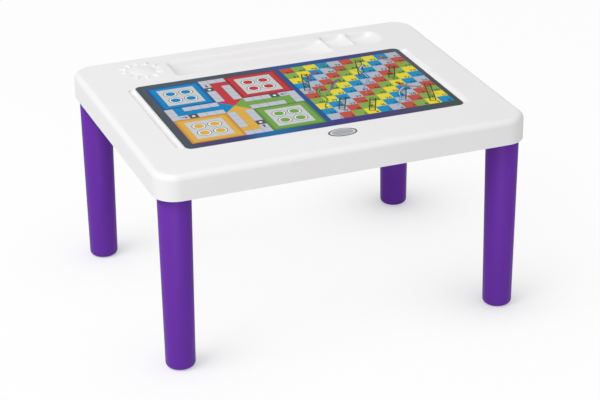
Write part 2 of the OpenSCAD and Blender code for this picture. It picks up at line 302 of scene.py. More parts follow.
# %% [markdown]
# ## White and purple plastic
# Top and legs are injection mouldings. The white top has the faint unevenness of a large flat
# moulding and a fine grain. The purple legs have a darker cast where the plastic flowed, so their
# noise is drawn out along the leg, and they mirror little of the white studio, so their colour stays
# deep. The board below the print is a plain white sheet, a little duller than the top.

# %% White moulding
white = Recipe("white_moulding")
white_flow = white.noise(0.11, 3.0)
white_grain = white.noise(0.0016, 2.0)
white_plastic = white.plastic(
    Base_Color=white.mix(white_flow, paint(236, 234, 235), paint(241, 240, 241)),
    Roughness=0.38 + 0.08 * white_flow + 0.04 * white_grain,
    Normal=white.relief(white_grain, 0.012 * MM),
    IOR=1.49,
)

# %% Purple moulding
purple = Recipe("purple_moulding")
purple_flow = purple.noise(0.05, 3.0, (1.0, 1.0, 0.25))
purple_grain = purple.noise(0.0012, 2.0)
purple_plastic = purple.plastic(
    Base_Color=purple.mix(purple_flow, paint(98, 43, 156), paint(106, 49, 166)),
    Roughness=0.36 + 0.08 * purple_flow + 0.05 * purple_grain,
    Normal=purple.relief(purple_grain, 0.01 * MM),
    IOR=1.49,
    Specular_IOR_Level=0.14,
)

# %% White sheet plastic of the board
board = Recipe("board_sheet")
board_cloud = board.noise(0.03, 3.0)
board_plastic = board.plastic(
    Base_Color=board.mix(board_cloud, paint(226, 226, 226), paint(233, 233, 232)),
    Roughness=0.5 + 0.1 * board_cloud,
    Normal=board.relief(board.noise(0.0008), 0.01 * MM),
)

# %% [markdown]
# ## Helpers for meshes
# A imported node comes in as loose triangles. Merging them and dissolving the flat parts gives a mesh
# with real edges, which can then be rounded. A finished piece always ends as a plain mesh at the
# origin, in the place of its node.

# %% Make a piece out of a bmesh
def piece_from(shape, name, material):
    """A new object from a bmesh, with one material."""
    mesh = bpy.data.meshes.new(name)
    shape.to_mesh(mesh)
    shape.free()
    mesh.materials.append(material)
    return add_object(name, mesh)


def evaluated_mesh(thing):
    """A new mesh of an object as its modifiers leave it."""
    bpy.context.view_layer.update()
    ready = thing.evaluated_get(bpy.context.evaluated_depsgraph_get())
    return bpy.data.meshes.new_from_object(ready)


def bake(piece):
    """Applies the piece's modifiers, so that a plain mesh is left."""
    mesh = evaluated_mesh(piece)
    piece.modifiers.clear()
    piece.data = mesh


def finish_node(node, material):
    """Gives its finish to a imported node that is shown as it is."""
    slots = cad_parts[node].data.materials
    slots.clear()
    slots.append(material)


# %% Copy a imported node
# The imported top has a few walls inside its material. None of their edges joins just two faces, and
# that is how they are told.
merge_within = 0.002 * MM
flat_within = math.radians(0.2)


def merged_copy(node):
    """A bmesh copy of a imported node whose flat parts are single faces, without walls inside it."""
    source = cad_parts[node].data
    shape = bmesh.new()
    corners = [shape.verts.new(v.co) for v in source.vertices]
    for face in source.polygons:
        shape.faces.new([corners[i] for i in face.vertices])
    bmesh.ops.remove_doubles(shape, verts=shape.verts, dist=merge_within)
    bmesh.ops.dissolve_limit(shape, angle_limit=flat_within, verts=shape.verts, edges=shape.edges)
    walls = [face for face in shape.faces if all(len(e.link_faces) != 2 for e in face.edges)]
    bmesh.ops.delete(shape, geom=walls, context="FACES")
    shape.normal_update()
    open_edges = sum(len(edge.link_faces) != 2 for edge in shape.edges)
    print(node, len(shape.faces), "faces,", len(walls), "walls left out,", open_edges, "open edges")
    return shape


# %% [markdown]
# ## Hollows and relief of the top
# The pencil tray, the two dishes and the sun flow into the flat top of the real moulding without a
# crease. A Bevel can't make that, because their slopes meet at flat angles. So the top face is read
# as a map of heights inside two windows, the map is blurred as a picture is, and a fine grid at the
# new heights takes the place of the face. The sides of a window lie on the flat top, where the blur
# changes nothing, so the grid joins on to it without a seam.

# %% Blur a map of heights
bell_reach = 2.5


def bell(spread, cell):
    """Weights of a bell curve, which add up to 1. Beyond bell_reach spreads they hardly count."""
    reach = math.ceil(bell_reach * spread / cell)
    weights = [math.exp(-0.5 * (i * cell / spread) ** 2) for i in range(-reach, reach + 1)]
    return [w / sum(weights) for w in weights]


def blurred(rows, weights):
    """Averages each height with its neighbours in the row, and turns the map on its side."""
    reach = len(weights) // 2
    result = []
    for row in rows:
        padded = [row[0]] * reach + list(row) + [row[-1]] * reach
        result.append([sum(w * padded[i + k] for k, w in enumerate(weights)) for i in range(len(row))])
    return list(zip(*result))


# %% Soft heights of the top
# The printed film lies flush with the flat top, so it gives the height of the flat top.
top_low, top_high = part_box("table_top")
face_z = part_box("game_sheet")[1].z
lowered_most = 1.4 * MM
hair = 0.01 * MM
down = Vector((0.0, 0.0, -1.0))


def height_at(surface, x, y):
    """Height of the top at a place, tried a hair beside it too if a ray slips between two faces."""
    for aside in (0.0, hair, -hair):
        place = surface.ray_cast(Vector((x + aside, y + aside, top_high.z + hair)), down)[0]
        if place:
            return place.z
    return face_z


def underside(surface, x, y, z):
    """Height of the next face below a point that looks down, or 0 if there is none."""
    place, normal, _, _ = surface.ray_cast(Vector((x, y, z)), down)
    while place and normal.z > 0:
        place, normal, _, _ = surface.ray_cast(Vector((x, y, place.z - hair)), down)
    return place.z if place else 0.0


def soft_heights(surface, places, cell, spread):
    """Blurred heights of the top on a grid of places, nowhere lowered by more than lowered_most."""
    hard = [[height_at(surface, x, y) for x, y in row] for row in places]
    weights = bell(spread, cell)
    soft = blurred(blurred(hard, weights), weights)
    soft = [[max(s, h - lowered_most) for s, h in zip(*pair)] for pair in zip(soft, hard)]
    walls = [
        s - underside(surface, x, y, h - hair)
        for row in zip(places, hard, soft)
        for (x, y), h, s in zip(*row)
    ]
    print("window: the wall below it is at least", round(min(walls) / MM, 2), "mm high")
    return soft


# %% Cut a window out of the top
# A face is level, or at least no upright wall, if its normal rises by these shares.
level_rise = 0.9
slope_rise = 0.3
hollow_deep = 17 * MM


def in_face(points):
    """True if all points lie in the plane of the flat top."""
    return all(abs(v.co.z - face_z) < hair for v in points)


def cut_face(shape, axis, place):
    """Cuts the flat top along a line at one place on x, axis 0, or on y, axis 1."""
    flat = [face for face in shape.faces if face.normal.z > level_rise and in_face(face.verts)]
    edges = {edge for face in flat for edge in face.edges}
    verts = {vert for face in flat for vert in face.verts}
    point, across = Vector((0, 0, 0)), Vector((0, 0, 0))
    point[axis], across[axis] = place, 1.0
    cut = flat + list(edges) + list(verts)
    bmesh.ops.bisect_plane(shape, geom=cut, dist=hair / 10, plane_co=point, plane_no=across)


def window_faces(shape, inside, on_side):
    """The faces inside a window, found from face to face as far as its sides."""
    found = {face for face in shape.faces if face.normal.z > slope_rise and inside(face)}
    waiting = list(found)
    while waiting:
        for edge in waiting.pop().edges:
            if not on_side(edge.verts):
                fresh = [face for face in edge.link_faces if face not in found]
                found.update(fresh)
                waiting += fresh
    strays = sum(not inside(face) for face in found)
    print("window:", len(found), "faces taken out,", strays, "of them strays")
    return list(found)


# %% Put a soft grid in the place of the top face
def grid_faces(shape, places, heights):
    """A grid of faces at the new heights, without its outermost places."""
    grid = [
        [shape.verts.new((x, y, z)) for (x, y), z in list(zip(*row))[1:-1]]
        for row in list(zip(places, heights))[1:-1]
    ]
    return [
        shape.faces.new((low[c], low[c + 1], high[c + 1], high[c]))
        for low, high in zip(grid, grid[1:])
        for c in range(len(low) - 1)
    ]


def soft_window(shape, surface, left, front, right, back, cell, spread):
    """Replaces the top face in a window by a grid of blurred heights, and returns its faces."""
    sides = [(0, left), (0, right), (1, front), (1, back)]

    def on_side(points):
        return in_face(points) and any(all(abs(v.co[a] - s) < hair for v in points) for a, s in sides)

    def inside(face):
        middle = face.calc_center_median()
        return left < middle.x < right and front < middle.y < back and middle.z > face_z - hollow_deep

    columns = round((right - left) / cell) + 1
    rows = round((back - front) / cell) + 1
    places = [[(left + c * cell, front + r * cell) for c in range(columns)] for r in range(rows)]
    heights = soft_heights(surface, places, cell, spread)
    for axis, place in sides:
        cut_face(shape, axis, place)
    shape.normal_update()
    bmesh.ops.delete(shape, geom=window_faces(shape, inside, on_side), context="FACES")
    new = grid_faces(shape, places, heights)
    grid_edges = {edge for face in new for edge in face.edges}
    seam = [e for e in shape.edges if e.is_boundary and (e in grid_edges or on_side(e.verts))]
    filled = bmesh.ops.triangle_fill(shape, edges=seam, use_beauty=True, normal=(0, 0, 1))
    new += [part for part in filled["geom"] if isinstance(part, bmesh.types.BMFace)]
    print("window:", len(new), "faces put in")
    return new


# %% Soften the hollows and the sun
# The windows are in millimetres from the middle of the table. They share the side at -186.
top_shape = merged_copy("table_top")
top_surface = bvhtree.BVHTree.FromBMesh(top_shape)
windows = {
    "hollows": {"left": -186, "front": 158, "right": 282, "back": 264, "cell": 2.0, "spread": 2.4},
    "sun": {"left": -287, "front": 165, "right": -186, "back": 267, "cell": 1.0, "spread": 1.0},
}
soft_faces = set()
for facts in windows.values():
    metres = {key: value * MM for key, value in facts.items()}
    soft_faces.update(soft_window(top_shape, top_surface, **metres))

# %% [markdown]
# ## Rims of the top
# A mould has no knife edges: the rim of the recess, the finger grooves, the badge's seat and the
# lower rim of the skirt are all a little soft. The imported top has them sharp. Its edges are picked
# by where they lie and how far they turn, weighted, and rounded by one Bevel modifier.

# %% Soften the rims of the top
rim_turn = math.radians(35)
crease_turn = math.radians(30)
rim_width = 0.7 * MM
level_slack = 0.05 * MM
skirt_band = 3.5 * MM
large_faces_win = 80


def is_rim(edge):
    """True for a sharp edge of the top face or of the skirt's lower rim."""
    if not edge.is_manifold or edge.calc_face_angle(0) < rim_turn:
        return False
    levels = [v.co.z for v in edge.verts]
    in_top_face = all(abs(z - face_z) < level_slack for z in levels)
    in_lower_rim = all(abs(z - top_low.z) < level_slack for z in levels)
    end = edge.verts[0].co
    outwards = max(abs(end.x) - top_high.x, abs(end.y) - top_high.y)
    return in_top_face or (in_lower_rim and outwards > -skirt_band)


soft_edges = {edge for face in soft_faces for edge in face.edges}
weight = top_shape.edges.layers.float.new("bevel_weight_edge")
rims = [edge for edge in top_shape.edges if edge not in soft_edges and is_rim(edge)]
for edge in rims:
    edge[weight] = 1.0
for face in top_shape.faces:
    face.smooth = True
for edge in top_shape.edges:
    turns_little = edge.is_manifold and edge.calc_face_angle(0) < crease_turn
    edge.smooth = turns_little or edge in soft_edges
moulded_top = piece_from(top_shape, "moulded_top", white_plastic)
soften = moulded_top.modifiers.new("soft_rims", "BEVEL")
soften.limit_method = "WEIGHT"
soften.width = rim_width
soften.segments = 3
even = moulded_top.modifiers.new("even_normals", "WEIGHTED_NORMAL")
even.keep_sharp = True
even.weight = large_faces_win
bake(moulded_top)
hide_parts("table_top")
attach(moulded_top, "table")
print("top:", len(rims), "rim edges softened,", len(moulded_top.data.polygons), "faces")

# %% [markdown]
# ## The legs
# A leg is a deep tapered cup, closed by a rounded foot. It is a turned shape, so its section is
# written once and spun round its axis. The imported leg's box gives its length and its width at the
# top. The rest are that leg's own sizes, with a small bevel at the lip and round the dimple.

# %% Section of a leg
leg_foot_r = 28.0 * MM
leg_wall = 3.0 * MM
leg_round = 9.0 * MM
dimple_r = 11.0 * MM
dimple_h = 1.0 * MM
lip_r = 0.6 * MM
foot_steps = 12


def arc(centre_x, centre_z, radius, first, last, steps):
    """Points on an arc in the section, from one angle to another, in degrees."""
    angles = [math.radians(first + (last - first) * i / steps) for i in range(steps + 1)]
    return [(centre_x + radius * math.cos(a), centre_z + radius * math.sin(a)) for a in angles]


def leg_section(length, top_r):
    """Closed section of a leg, from the middle of its foot out, up, over and down inside."""
    slope = math.atan2(top_r - leg_foot_r, length)

    def round_foot(inset):
        """The rounding of the foot, or of the floor inside it."""
        radius = leg_round - inset
        reach = (leg_round + (length - leg_round) * math.sin(slope)) / math.cos(slope)
        return arc(top_r - reach, leg_round, radius, -90, -math.degrees(slope), foot_steps)

    inner_r = top_r - leg_wall / math.cos(slope)
    return [
        (0.0, dimple_h),
        (dimple_r - dimple_h, dimple_h),
        (dimple_r, 0.0),
        *round_foot(0.0),
        (top_r - lip_r * math.tan(slope), length - lip_r),
        (top_r - lip_r, length),
        (inner_r + lip_r, length),
        (inner_r, length - lip_r),
        *reversed(round_foot(leg_wall)),
        (0.0, leg_wall),
    ]


# %% Turn the four legs
leg_steps = 112
leg_crease = math.radians(50)


def turned_leg(node):
    """A leg spun round its own axis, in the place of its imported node."""
    low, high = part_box(node)
    axis = (low + high) / 2
    section = leg_section(high.z - low.z, (high.x - low.x) / 2)
    shape = bmesh.new()
    line = [shape.verts.new((axis.x + r, axis.y, low.z + z)) for r, z in section]
    edges = [shape.edges.new(pair) for pair in zip(line, line[1:])]
    bmesh.ops.spin(
        shape,
        geom=line + edges,
        cent=(axis.x, axis.y, 0),
        axis=(0, 0, 1),
        angle=math.tau,
        steps=leg_steps,
        use_merge=True,
    )
    bmesh.ops.remove_doubles(shape, verts=shape.verts, dist=hair)
    bmesh.ops.recalc_face_normals(shape, faces=shape.faces)
    for face in shape.faces:
        face.smooth = True
    for edge in shape.edges:
        edge.smooth = edge.calc_face_angle(0) < leg_crease
    return piece_from(shape, node.replace("leg", "turned_leg"), purple_plastic)


for node in leg_nodes:
    leg = turned_leg(node)
    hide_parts(node)
    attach(leg, node)
    print(leg.name, len(leg.data.polygons), "faces")

# %% [markdown]
# ## Inks of the printed film
# The film is one flat sheet, and its games are only ink, so nothing on it may stand up. Each printed
# shape keeps its real outline: all outlines are laid over each other, cut into one flat mesh, and
# each small face takes the colour of the shape that was printed last over it.

# %% Colours of the inks
# The four game colours also come as a fade from a deep tone to the full one.
inks = {
    "border": paint(60, 66, 72, 0.0),
    "divider": paint(36, 84, 144),
    "yellow": paint(234, 217, 58),
    "lilac": paint(180, 188, 203),
    "sky": paint(22, 143, 196),
    "leaf": paint(132, 172, 76),
    "coral": paint(192, 82, 68),
    "track": paint(196, 199, 209),
    "track_line": paint(124, 132, 148),
    "plate": paint(204, 207, 208),
    "ring": paint(58, 64, 76),
    "white": paint(246, 246, 244),
    "safe": paint(78, 80, 86),
    "dark": paint(30, 32, 40),
    "ladder_dark": paint(28, 34, 34),
    "ladder_light": paint(96, 92, 40),
    "snake_edge": paint(26, 30, 46),
    "snake_blue": paint(150, 190, 226),
    "snake_green": paint(96, 170, 70),
    "snake_orange": paint(226, 130, 50),
    "snake_purple": paint(148, 96, 170),
}
game_colours = {
    "blue": ((0, 134, 193), (34, 72, 148)),
    "red": ((194, 57, 62), (136, 34, 50)),
    "green": ((116, 166, 74), (78, 124, 60)),
    "orange": ((223, 175, 72), (198, 132, 62)),
}
fade_steps = 6
for name, (full, deep) in game_colours.items():
    inks[name] = paint(*full)
    for step in range(fade_steps):
        share = step / (fade_steps - 1)
        inks[f"{name}_{step}"] = paint(*[a + (b - a) * share for a, b in zip(deep, full)])
sheet_low, sheet_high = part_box("game_sheet")
sheet_w = (sheet_high.x - sheet_low.x) / MM
sheet_d = (sheet_high.y - sheet_low.y) / MM
print("printed film", round(sheet_w, 1), "by", round(sheet_d, 1), "mm")

# %% Shapes are collected in the order in which they are printed
# All outlines are in millimetres from the back left corner of the film, right and towards the front.
prints = []


def stamp(ink, *outlines):
    """Prints outlines in one ink, over everything printed before."""
    prints.extend((ink, outline) for outline in outlines)


def box_outline(left, back, width, depth, inset=0.0):
    """A rectangle, drawn in by inset on all sides."""
    right = left + width - inset
    front = back + depth - inset
    return [(left + inset, back + inset), (right, back + inset), (right, front), (left + inset, front)]


def round_outline(left, back, width, depth, radius, steps=8):
    """A rectangle with round corners."""
    right = left + width
    front = back + depth
    return (
        arc(left + radius, back + radius, radius, 180, 270, steps)
        + arc(right - radius, back + radius, radius, 270, 360, steps)
        + arc(right - radius, front - radius, radius, 0, 90, steps)
        + arc(left + radius, front - radius, radius, 90, 180, steps)
    )


# %% [markdown]
# ## Shapes that repeat or follow a line
# Counters' spots repeat on a grid, rungs repeat along a ladder, and a snake is a band that follows
# a curve and tapers. Geometry Nodes make these as flat shapes: a tree gives the outlines, which
# then join the print. The sizes are named inputs of its modifier.

# %% A Geometry Nodes tree with named inputs
class Graph(Tree):
    """A Geometry Nodes group that ends in realized instances and a material."""

    def __init__(self, name, **sizes):
        group = bpy.data.node_groups.new(name, "GeometryNodeTree")
        super().__init__(group)
        group.interface.new_socket("Shape", in_out="INPUT", socket_type="NodeSocketGeometry")
        group.interface.new_socket("Shape", in_out="OUTPUT", socket_type="NodeSocketGeometry")
        for label, value in sizes.items():
            size = group.interface.new_socket(label, in_out="INPUT", socket_type="NodeSocketFloat")
            size.default_value = value
        self.shape = self.node("NodeGroupInput")

    def size(self, label):
        """One of the tree's sizes, by its name."""
        return self.shape.output(label)

    def end(self, shape, material):
        """Ends the tree in plain faces of one material and returns the group."""
        real = self.node("GeometryNodeRealizeInstances", {}, {"Geometry": shape})
        done = self.node("GeometryNodeSetMaterial", {}, {"Geometry": real, "Material": material})
        self.node("NodeGroupOutput", {}, {0: done})
        return self.tree


# %% Flat outlines from a tree
def face_outlines(mesh):
    """The faces of a flat mesh as outlines."""
    return [[tuple(mesh.vertices[i].co.xy) for i in face.vertices] for face in mesh.polygons]


def grown_outlines(group, source, **sizes):
    """Runs a tree on an object and returns its faces as outlines on the film."""
    growth = source.modifiers.new("growth", "NODES")
    growth.node_group = group
    for item in group.interface.items_tree:
        if item.in_out == "INPUT" and item.name in sizes:
            growth[item.identifier] = sizes[item.name]
    mesh = evaluated_mesh(source)
    outlines = face_outlines(mesh)
    source.modifiers.remove(growth)
    bpy.data.objects.remove(source)
    bpy.data.meshes.remove(mesh)
    return outlines


def points_object(points):
    """Loose points as an object, for a tree that puts something on each."""
    mesh = bpy.data.meshes.new("points")
    mesh.from_pydata([(x, y, 0.0) for x, y in points], [], [])
    return add_object("points", mesh)


def lines_object(lines):
    """Lines through given points as one curve object."""
    curve = bpy.data.curves.new("lines", "CURVE")
    curve.dimensions = "3D"
    for line in lines:
        spline = curve.splines.new("POLY")
        spline.points.add(len(line) - 1)
        for point, (x, y) in zip(spline.points, line):
            point.co = (x, y, 0.0, 1.0)
    return add_object("lines", curve)


# %% [markdown]
# ## The film's own finish
# The ink comes from a colour stored on the mesh. Its alpha is 0 on the border, where the colour
# runs along the edge instead, from charcoal through blue and violet to charcoal again. Print is
# never quite even, so a fine speckle is mixed in. The film is smooth but shows hardly any shine, so
# it mirrors very little and its colours stay deep.

# %% Printed film
film = Recipe("printed_film")
ink = film.node("ShaderNodeAttribute", {"attribute_name": "ink"}, output="Color")
is_field = ink.output("Alpha")
film_place = film.node("ShaderNodeSeparateXYZ", {}, {0: film.place}, "X")
border_share = (film_place - sheet_low.x) * (1 / (sheet_w * MM))


def border_ramp(*stops):
    """The border's colour from left to right. A new ramp has its two ends, so these come first."""
    stops = [(share, paint(*colour)) for share, colour in stops]
    return film.node("ShaderNodeValToRGB", {}, {"Fac": border_share}, stops=stops)


back_border = border_ramp(
    (0.0, (74, 84, 88)),
    (1.0, (79, 88, 95)),
    (0.06, (75, 89, 98)),
    (0.22, (70, 87, 98)),
    (0.34, (70, 78, 92)),
    (0.46, (62, 80, 112)),
    (0.58, (32, 90, 148)),
    (0.70, (44, 78, 138)),
    (0.81, (68, 60, 126)),
    (0.90, (72, 74, 116)),
    (0.965, (76, 84, 98)),
)
front_border = border_ramp(
    (0.0, (74, 84, 88)),
    (1.0, (66, 78, 78)),
    (0.06, (72, 72, 104)),
    (0.13, (66, 66, 110)),
    (0.21, (57, 66, 116)),
    (0.27, (30, 104, 166)),
    (0.34, (30, 108, 168)),
    (0.42, (52, 80, 132)),
    (0.54, (64, 56, 126)),
    (0.66, (68, 58, 122)),
    (0.81, (70, 71, 102)),
    (0.90, (70, 77, 84)),
)
is_back = film_place.output("Y") > ((sheet_low.y + sheet_high.y) / 2)
border_tint = film.mix(is_back, front_border, back_border)
speckle = film.noise(0.0011, 3.0)
flat_ink = film.mix(is_field, border_tint, ink)
ink_tone = film.mix(0.16 * speckle, flat_ink, paint(200, 202, 206), "MULTIPLY")
film_gloss = film.plastic(
    Base_Color=ink_tone,
    Roughness=0.3 + 0.12 * film.noise(0.02, 3.0),
    Normal=film.relief(film.noise(0.004), 0.008 * MM),
    IOR=1.5,
    Specular_IOR_Level=0.02,
)

# %% [markdown]
# ## The race game
# The left half is the traditional four-colour cross: a grid of fifteen by fifteen squares, with a
# home of six by six in each corner and three columns of track between them. Everything is placed by
# grid squares, so one function turns a place in squares into millimetres.

# %% Grid of the race game
race_left = 17.6
race_back = 19.0
race_w = 264.0
race_d = 283.0
square_w = race_w / 15
square_d = race_d / 15


def squares(column, row, columns=1, rows=1, inset=0.0):
    """Outline of a block of squares."""
    return box_outline(
        race_left + column * square_w,
        race_back + row * square_d,
        columns * square_w,
        rows * square_d,
        inset,
    )


sheet_corner = 12.5
divider_w = 12.7
divider_behind = 4.0
divider_longer = 6.0
divider_d = race_d + divider_longer
stamp("border", round_outline(0.0, 0.0, sheet_w, sheet_d, sheet_corner))
stamp("divider", box_outline(race_left + race_w, race_back - divider_behind, divider_w, divider_d))
stamp("track_line", squares(0, 0, 15, 15))

# %% Tracks, home lanes and safe squares
arms = {
    "red": {"lane": [(7, r) for r in range(1, 6)] + [(8, 1)], "safe": (6, 2)},
    "blue": {"lane": [(c, 7) for c in range(1, 6)] + [(1, 6)], "safe": (2, 8)},
    "green": {"lane": [(c, 7) for c in range(9, 14)] + [(13, 8)], "safe": (12, 6)},
    "orange": {"lane": [(7, r) for r in range(9, 14)] + [(6, 13)], "safe": (8, 12)},
}
line_half = 0.35
lane_line = 0.25
safe_line = 0.3
for column in range(15):
    for row in range(15):
        in_cross = 6 <= column <= 8 or 6 <= row <= 8
        in_middle = 6 <= column <= 8 and 6 <= row <= 8
        if in_cross and not in_middle:
            stamp("track", squares(column, row, inset=line_half))
for colour, arm in arms.items():
    for column, row in arm["lane"]:
        stamp(colour + "_0", squares(column, row))
        stamp(colour, squares(column, row, inset=lane_line))
    stamp("safe", squares(*arm["safe"], inset=safe_line))

# %% The middle, where the four lanes meet
def centre(outline):
    """The middle of a rectangle."""
    return ((outline[0][0] + outline[2][0]) / 2, (outline[0][1] + outline[2][1]) / 2)


middle = squares(6, 6, 3, 3)
for first, colour in enumerate(("red", "green", "orange", "blue")):
    stamp(colour, [middle[first], middle[(first + 1) % 4], centre(middle)])

# %% Arrows where the counters join the track
# Each arrow is drawn once, pointing right from the middle of its square, and turned by quarters.
arrow = [(-6, -1.2), (1, -1.2), (1, -4), (6.5, 0), (1, 4), (1, 1.2), (-6, 1.2)]
arrow_places = [((6, 1), 1), ((1, 8), 0), ((13, 6), 2), ((8, 13), 3)]
for place, quarters in arrow_places:
    x, y = (sum(values) / 4 for values in zip(*squares(*place)))
    turned = arrow
    for _ in range(quarters):
        turned = [(-dy, dx) for dx, dy in turned]
    stamp("dark", [(x + dx, y + dy) for dx, dy in turned])

# %% Homes
# Each home fades from a deep tone at its edge to the full colour, by nested squares.
homes = {"blue": (0, 0), "red": (9, 0), "orange": (0, 9), "green": (9, 9)}
home_inset = 16.0
plate_line = 0.8
fade_width = 8.5
for colour, (column, row) in homes.items():
    for step in range(fade_steps):
        inset = fade_width * step / fade_steps
        stamp(f"{colour}_{step}", squares(column, row, 6, 6, inset))
    stamp(colour + "_2", squares(column, row, 6, 6, home_inset - plate_line))
    stamp("plate", squares(column, row, 6, 6, home_inset))

# %% Spots for the counters
spot_corners = 40
spot_graph = Graph("spots", Radius=9.0)
spot_sizes = {"Vertices": spot_corners, "Radius": spot_graph.size("Radius")}
spot = spot_graph.node("GeometryNodeMeshCircle", {"fill_type": "NGON"}, spot_sizes)
placed = {"Points": spot_graph.size("Shape"), "Instance": spot}
spots = spot_graph.node("GeometryNodeInstanceOnPoints", {}, placed)
spot_group = spot_graph.end(spots, film_gloss)


def stamp_spots(ink, places, radius):
    """Prints a round spot on each place."""
    stamp(ink, *grown_outlines(spot_group, points_object(places), Radius=radius))


# %% Four ringed spots in each home, and a small one on each safe square
# A spot's rings are listed from the outside in, and {} stands for the home's colour.
spot_step_x = 15.5
spot_step_y = 16.7
ring_r = {"ring": 13.8, "white": 12.4, "{}_2": 9.5, "{}": 8.6}
safe_r = 3.4
for colour, (column, row) in homes.items():
    x, y = centre(squares(column, row, 6, 6))
    places = [(x + side * spot_step_x, y + end * spot_step_y) for side in (-1, 1) for end in (-1, 1)]
    for name, radius in ring_r.items():
        stamp_spots(name.format(colour), places, radius)
stamp_spots("white", [centre(squares(*arm["safe"])) for arm in arms.values()], safe_r)
print(len(prints), "printed shapes in the race game")

# %% [markdown]
# ## The ladder game
# The right half is the traditional ten by ten board. Its five colours run along the diagonals, the
# squares are numbered to and fro from the front, and ladders and snakes join some of them. The
# layout of both is this lesson's own.

# %% Numbered squares
ladder_left = 292.3
ladder_back = 19.3
ladder_w = 252.0
ladder_d = 278.0
cell_w = ladder_w / 10
cell_d = ladder_d / 10
diagonal = ["coral", "leaf", "yellow", "sky", "lilac"]
for column in range(10):
    for row in range(10):
        cell = box_outline(ladder_left + column * cell_w, ladder_back + row * cell_d, cell_w, cell_d)
        stamp(diagonal[(column + row) % 5], cell)


def cell_place(number, share_x=0.5, share_y=0.5):
    """A point in a numbered square. Square 1 is at the front left, and rows run to and fro."""
    row, step = divmod(number - 1, 10)
    column = step if row % 2 == 0 else 9 - step
    return (
        ladder_left + (column + share_x) * cell_w,
        ladder_back + (9 - row + share_y) * cell_d,
    )


# %% A flat band along a line
def band(graph, line, width, **more):
    """Adds the nodes of a band that lies flat and whose line runs along its middle."""
    level = graph.node("GeometryNodeSetCurveNormal", {"mode": "Z_UP"}, {"Curve": line})
    start = graph.node("ShaderNodeCombineXYZ", {}, {"X": width * -0.5})
    end = graph.node("ShaderNodeCombineXYZ", {}, {"X": width * 0.5})
    across = graph.node("GeometryNodeCurvePrimitiveLine", {}, {"Start": start, "End": end})
    inputs = {"Curve": level, "Profile Curve": across, **more}
    return graph.node("GeometryNodeCurveToMesh", {}, inputs)


# %% Ladders follow straight lines
ladder_graph = Graph("ladders", Width=11.0, Step=7.5, Bar=1.8)
add = ladder_graph.node
line = ladder_graph.size("Shape")
width = ladder_graph.size("Width")
bar = ladder_graph.size("Bar")
upwards = (0.0, 0.0, 1.0)
along = add("GeometryNodeInputTangent")
aside = add("ShaderNodeVectorMath", {"operation": "CROSS_PRODUCT"}, {0: along, 1: upwards})
ladder_parts = []
for side in (-0.5, 0.5):
    shift = add("ShaderNodeVectorMath", {"operation": "SCALE"}, {0: aside, "Scale": width * side})
    moved = add("GeometryNodeSetPosition", {}, {"Geometry": line, "Offset": shift})
    ladder_parts.append(band(ladder_graph, moved, bar))

# %% Rungs repeat along the ladders
steps = {"Curve": line, "Length": ladder_graph.size("Step")}
points = add("GeometryNodeCurveToPoints", {"mode": "LENGTH"}, steps)
tangent = points.output("Tangent")
turn = add("FunctionNodeAlignRotationToVector", {"axis": "X"}, {"Vector": tangent})
rung_sizes = {"Size X": bar, "Size Y": width, "Vertices X": 2, "Vertices Y": 2}
rung = add("GeometryNodeMeshGrid", {}, rung_sizes)
placed = {"Points": points, "Instance": rung, "Rotation": turn}
ladder_parts.append(add("GeometryNodeInstanceOnPoints", {}, placed))
whole_ladder = add("GeometryNodeJoinGeometry", {}, {"Geometry": ladder_parts})
ladder_group = ladder_graph.end(whole_ladder, film_gloss)

# %% Print the ladders
# A ladder is printed twice: in dark broad bars, and again in light narrow ones on top of them.
ladder_ends = [(4, 25), (9, 31), (14, 33), (19, 38), (53, 72), (60, 82), (66, 94)]
ladder_lines = [[cell_place(foot), cell_place(head)] for foot, head in ladder_ends]
bar_w = {"ladder_dark": 2.2, "ladder_light": 0.7}
for name, width in bar_w.items():
    stamp(name, *grown_outlines(ladder_group, lines_object(ladder_lines), Bar=width))

# %% Snakes follow curves and taper to the tail
snake_taper = 0.85
snake_graph = Graph("snakes", Width=4.6)
line = snake_graph.size("Shape")
to_tail = snake_graph.node("GeometryNodeSplineParameter", output="Factor")
tapered = 1.0 - snake_taper * to_tail
snake_band = band(snake_graph, line, snake_graph.size("Width"), Scale=tapered)
snake_group = snake_graph.end(snake_band, film_gloss)

# %% Print the snakes
# A snake is a dark band and head with a narrower band and head in its colour on top, and an eye.
snake_steps = 26
tail_calm = 0.5
eye_r = 1.2


def snake_path(head, tail, waves, swing):
    """Points from head to tail that swing from side to side."""
    start = Vector(cell_place(head))
    run = Vector(cell_place(tail)) - start
    aside = Vector((-run.y, run.x)).normalized()
    path = []
    for i in range(snake_steps + 1):
        share = i / snake_steps
        wave = math.sin(math.tau * waves * share) * swing * (1 - tail_calm * share)
        path.append(tuple(start + run * share + aside * wave))
    return path


snakes = [
    ("snake_blue", 87, 36, 1.5, 8.0),
    ("snake_green", 97, 75, 1.0, 6.0),
    ("snake_orange", 92, 71, 1.0, 6.0),
    ("snake_purple", 64, 42, 1.0, 5.0),
    ("snake_green", 59, 20, 1.5, 7.0),
    ("snake_orange", 48, 11, 1.5, 6.0),
    ("snake_blue", 33, 6, 1.0, 5.0),
    ("snake_purple", 83, 61, 1.0, 5.0),
]
for name, head, tail, waves, swing in snakes:
    path = snake_path(head, tail, waves, swing)
    for ink_name, band_w, head_r in (("snake_edge", 7.6, 4.6), (name, 4.8, 3.3)):
        stamp(ink_name, *grown_outlines(snake_group, lines_object([path]), Width=band_w))
        stamp_spots(ink_name, path[:1], head_r)
    stamp_spots("snake_edge", path[:1], eye_r)

# %% Numbers in the squares
# Each digit is made once from Blender's own plain font and then copied, because a hundred separate
# text objects would be slow. A digit's height is 0.7 of the font's size. A digit with a hole can't
# be one outline, so its triangles are used.
digit_height = 8.2
digit_bold = 0.22
digit_share = 0.7
digit_gap = 0.9
digit_corner = 0.93


